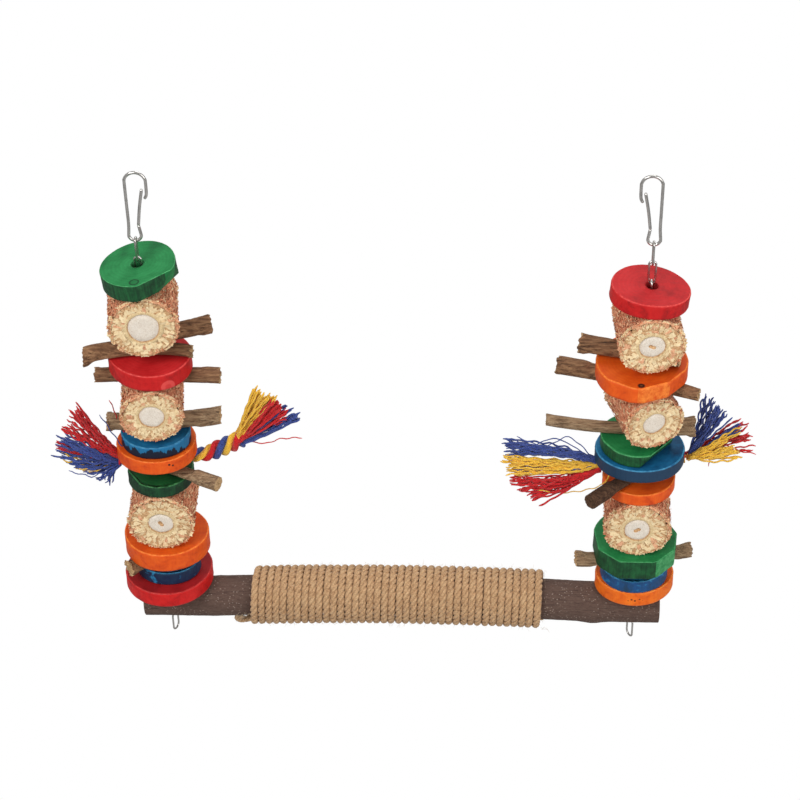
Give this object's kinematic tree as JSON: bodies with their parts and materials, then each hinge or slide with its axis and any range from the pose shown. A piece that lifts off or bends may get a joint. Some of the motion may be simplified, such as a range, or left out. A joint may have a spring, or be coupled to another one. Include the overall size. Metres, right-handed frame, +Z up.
{
  "type": "hanging bird swing",
  "caption": "Cage swing for a parrot: jute-wound bark perch on two hook-hung chains threaded with dyed wood slices, corncob pieces, twigs and frayed cotton rope.",
  "frame": {"origin": "midway between the seats of the two hooks, on the line along which a cage's bars carry them", "axes": "+X along the perch to the picture's right, -Y towards the picture's viewer, +Z up"},
  "size_m": [0.3598, 0.0508, 0.2883],
  "materials": {
    "hook_wire": "bright nickel plate",
    "chain_wire": "bright nickel plate",
    "ring_wire": "bright nickel plate",
    "perch_bark": "rough bark",
    "jute": "twisted natural fibre",
    "red_wood": "dyed, sawn faces",
    "orange_wood": "dyed, sawn faces",
    "green_wood": "dyed, sawn faces",
    "blue_wood": "dyed, sawn faces",
    "corncob": "dry, rough chaff with a pale pith",
    "twig_bark": "rough bark",
    "rope_yellow": "twisted cotton strand",
    "rope_red": "frayed cotton strand",
    "rope_blue": "frayed cotton strand"
  },
  "bodies": {
    "cage_hooks": {"left_hook": "hook_wire", "right_hook": "hook_wire"},
    "left_gate": {"left_gate": "hook_wire"},
    "right_gate": {"right_gate": "hook_wire"},
    "hanger": {"left_top_link": "chain_wire", "right_top_link": "chain_wire"},
    "left_column": {"left_chain": "chain_wire"},
    "perch_group": {"perch": "perch_bark", "jute_wrap": "jute", "left_lower_chain": "chain_wire", "right_lower_chain": "chain_wire"},
    "right_column": {"right_chain": "chain_wire"},
    "left_ring": {"left_ring": "ring_wire"},
    "right_ring": {"right_ring": "ring_wire"},
    "left_base_red_slice": {"left_base_red_slice": "red_wood"},
    "left_base_blue_slice": {"left_base_blue_slice": "blue_wood"},
    "left_base_twig": {"left_base_twig": "twig_bark"},
    "left_low_orange_slice": {"left_low_orange_slice": "orange_wood"},
    "left_low_cob": {"left_low_cob": "corncob"},
    "left_low_green_slice": {"left_low_green_slice": "green_wood"},
    "left_rope_group": {"left_rope": "rope_yellow", "left_rope_outer_end": "rope_red", "left_rope_inner_end": "rope_blue", "left_rope_twig": "twig_bark"},
    "left_mid_orange_slice": {"left_mid_orange_slice": "orange_wood"},
    "left_mid_blue_slice": {"left_mid_blue_slice": "blue_wood"},
    "left_mid_cob_group": {"left_mid_cob": "corncob", "left_mid_twig": "twig_bark", "left_upper_twig": "twig_bark"},
    "left_upper_red_slice": {"left_upper_red_slice": "red_wood"},
    "left_top_cob_group": {"left_top_cob": "corncob", "left_front_twig": "twig_bark", "left_rear_twig": "twig_bark"},
    "left_top_green_slice": {"left_top_green_slice": "green_wood"},
    "right_base_orange_slice": {"right_base_orange_slice": "orange_wood"},
    "right_base_blue_slice": {"right_base_blue_slice": "blue_wood"},
    "right_base_twig": {"right_base_twig": "twig_bark"},
    "right_low_green_slice": {"right_low_green_slice": "green_wood"},
    "right_low_cob": {"right_low_cob": "corncob"},
    "right_low_orange_slice": {"right_low_orange_slice": "orange_wood"},
    "right_rope_group": {"right_rope": "rope_yellow", "right_rope_outer_end": "rope_red", "right_rope_inner_end": "rope_blue", "right_rope_twig": "twig_bark"},
    "right_mid_blue_slice": {"right_mid_blue_slice": "blue_wood"},
    "right_mid_green_slice": {"right_mid_green_slice": "green_wood"},
    "right_mid_cob_group": {"right_mid_cob": "corncob", "right_mid_twig": "twig_bark", "right_upper_twig": "twig_bark"},
    "right_upper_orange_slice": {"right_upper_orange_slice": "orange_wood"},
    "right_top_cob_group": {"right_top_cob": "corncob", "right_top_twig": "twig_bark"},
    "right_top_red_slice": {"right_top_red_slice": "red_wood"}
  },
  "joints": [
    {"name": "swing", "type": "hinge", "parent": "cage_hooks", "child": "hanger", "pos_m": [0, 0, -0.0366], "axis": [1, 0, 0], "range_deg": [-60, 60]},
    {"name": "left_sway", "type": "hinge", "parent": "hanger", "child": "left_column", "pos_m": [-0.1214, 0, -0.04743], "axis": [0, 1, 0], "range_deg": [-8, 8]},
    {"name": "perch_level", "type": "hinge", "parent": "left_column", "child": "perch_group", "pos_m": [-0.1214, 0, -0.19909], "axis": [0, 1, 0], "range_deg": [-8, 8]},
    {"name": "right_sway", "type": "hinge", "parent": "perch_group", "child": "right_column", "pos_m": [0.1214, 0, -0.19909], "axis": [0, 1, 0], "range_deg": [-8, 8]},
    {"name": "left_gate_flex", "type": "hinge", "parent": "cage_hooks", "child": "left_gate", "pos_m": [-0.11928, 0, -0.0281], "axis": [0, -1, 0], "range_deg": [0, 16], "stiffness_Nm_per_rad": 0.05, "springref_deg": -8.59},
    {"name": "right_gate_flex", "type": "hinge", "parent": "cage_hooks", "child": "right_gate", "pos_m": [0.11928, 0, -0.0281], "axis": [0, 1, 0], "range_deg": [0, 16], "stiffness_Nm_per_rad": 0.05, "springref_deg": -8.59},
    {"name": "left_ring_swing", "type": "hinge", "parent": "perch_group", "child": "left_ring", "pos_m": [-0.1214, 0, -0.27573], "axis": [1, 0, 0], "range_deg": [-20, 20]},
    {"name": "right_ring_swing", "type": "hinge", "parent": "perch_group", "child": "right_ring", "pos_m": [0.1214, 0, -0.27573], "axis": [1, 0, 0], "range_deg": [-20, 20]},
    {"name": "left_base_red_slice_turn", "type": "hinge", "parent": "perch_group", "child": "left_base_red_slice", "pos_m": [-0.1214, 0, -0.26258], "axis": [0, 0, 1], "continuous": true},
    {"name": "left_base_blue_slice_turn", "type": "hinge", "parent": "perch_group", "child": "left_base_blue_slice", "pos_m": [-0.1214, 0, -0.26258], "axis": [0, 0, 1], "continuous": true},
    {"name": "left_base_twig_turn", "type": "hinge", "parent": "perch_group", "child": "left_base_twig", "pos_m": [-0.1214, 0, -0.26258], "axis": [0, 0, 1], "continuous": true},
    {"name": "left_low_orange_slice_turn", "type": "hinge", "parent": "perch_group", "child": "left_low_orange_slice", "pos_m": [-0.1214, 0, -0.26258], "axis": [0, 0, 1], "continuous": true},
    {"name": "left_low_cob_turn", "type": "hinge", "parent": "left_column", "child": "left_low_cob", "pos_m": [-0.1214, 0, -0.26258], "axis": [0, 0, 1], "range_deg": [-5, 5]},
    {"name": "left_low_green_slice_turn", "type": "hinge", "parent": "left_column", "child": "left_low_green_slice", "pos_m": [-0.1214, 0, -0.26258], "axis": [0, 0, 1], "continuous": true},
    {"name": "left_rope_turn", "type": "hinge", "parent": "left_column", "child": "left_rope_group", "pos_m": [-0.1214, 0, -0.26258], "axis": [0, 0, 1], "range_deg": [-20, 20]},
    {"name": "left_mid_orange_slice_turn", "type": "hinge", "parent": "left_column", "child": "left_mid_orange_slice", "pos_m": [-0.1214, 0, -0.26258], "axis": [0, 0, 1], "continuous": true},
    {"name": "left_mid_blue_slice_turn", "type": "hinge", "parent": "left_column", "child": "left_mid_blue_slice", "pos_m": [-0.1214, 0, -0.26258], "axis": [0, 0, 1], "continuous": true},
    {"name": "left_mid_cob_turn", "type": "hinge", "parent": "left_column", "child": "left_mid_cob_group", "pos_m": [-0.1214, 0, -0.26258], "axis": [0, 0, 1], "continuous": true},
    {"name": "left_upper_red_slice_turn", "type": "hinge", "parent": "left_column", "child": "left_upper_red_slice", "pos_m": [-0.1214, 0, -0.26258], "axis": [0, 0, 1], "continuous": true},
    {"name": "left_top_cob_turn", "type": "hinge", "parent": "left_column", "child": "left_top_cob_group", "pos_m": [-0.1214, 0, -0.26258], "axis": [0, 0, 1], "range_deg": [-10, 10]},
    {"name": "left_top_green_slice_turn", "type": "hinge", "parent": "left_column", "child": "left_top_green_slice", "pos_m": [-0.1214, 0, -0.05431], "axis": [-0.1045, 0, 0.9945], "continuous": true},
    {"name": "right_base_orange_slice_turn", "type": "hinge", "parent": "perch_group", "child": "right_base_orange_slice", "pos_m": [0.1214, 0, -0.26258], "axis": [0, 0, 1], "continuous": true},
    {"name": "right_base_blue_slice_turn", "type": "hinge", "parent": "perch_group", "child": "right_base_blue_slice", "pos_m": [0.1214, 0, -0.26258], "axis": [0, 0, 1], "continuous": true},
    {"name": "right_base_twig_turn", "type": "hinge", "parent": "perch_group", "child": "right_base_twig", "pos_m": [0.1214, 0, -0.26258], "axis": [0, 0, 1], "continuous": true},
    {"name": "right_low_green_slice_turn", "type": "hinge", "parent": "perch_group", "child": "right_low_green_slice", "pos_m": [0.1214, 0, -0.26258], "axis": [0, 0, 1], "continuous": true},
    {"name": "right_low_cob_turn", "type": "hinge", "parent": "right_column", "child": "right_low_cob", "pos_m": [0.1214, 0, -0.26258], "axis": [0, 0, 1], "range_deg": [-5, 5]},
    {"name": "right_low_orange_slice_turn", "type": "hinge", "parent": "right_column", "child": "right_low_orange_slice", "pos_m": [0.1214, 0, -0.26258], "axis": [0, 0, 1], "continuous": true},
    {"name": "right_rope_turn", "type": "hinge", "parent": "right_column", "child": "right_rope_group", "pos_m": [0.1214, 0, -0.26258], "axis": [0, 0, 1], "range_deg": [-20, 20]},
    {"name": "right_mid_blue_slice_turn", "type": "hinge", "parent": "right_column", "child": "right_mid_blue_slice", "pos_m": [0.1214, 0, -0.26258], "axis": [0, 0, 1], "continuous": true},
    {"name": "right_mid_green_slice_turn", "type": "hinge", "parent": "right_column", "child": "right_mid_green_slice", "pos_m": [0.1214, 0, -0.26258], "axis": [0, 0, 1], "continuous": true},
    {"name": "right_mid_cob_turn", "type": "hinge", "parent": "right_column", "child": "right_mid_cob_group", "pos_m": [0.1214, 0, -0.26258], "axis": [0, 0, 1], "range_deg": [-135, 135]},
    {"name": "right_upper_orange_slice_turn", "type": "hinge", "parent": "right_column", "child": "right_upper_orange_slice", "pos_m": [0.1214, 0, -0.26258], "axis": [0, 0, 1], "continuous": true},
    {"name": "right_top_cob_turn", "type": "hinge", "parent": "right_column", "child": "right_top_cob_group", "pos_m": [0.1214, 0, -0.26258], "axis": [0, 0, 1], "range_deg": [-10, 10]},
    {"name": "right_top_red_slice_turn", "type": "hinge", "parent": "right_column", "child": "right_top_red_slice", "pos_m": [0.1214, 0, -0.06361], "axis": [0.1045, 0, 0.9945], "continuous": true}
  ],
  "couplings": [
    {"joint": "perch_level", "follows": "left_sway", "ratio": -1},
    {"joint": "right_sway", "follows": "left_sway", "ratio": 1}
  ]
}
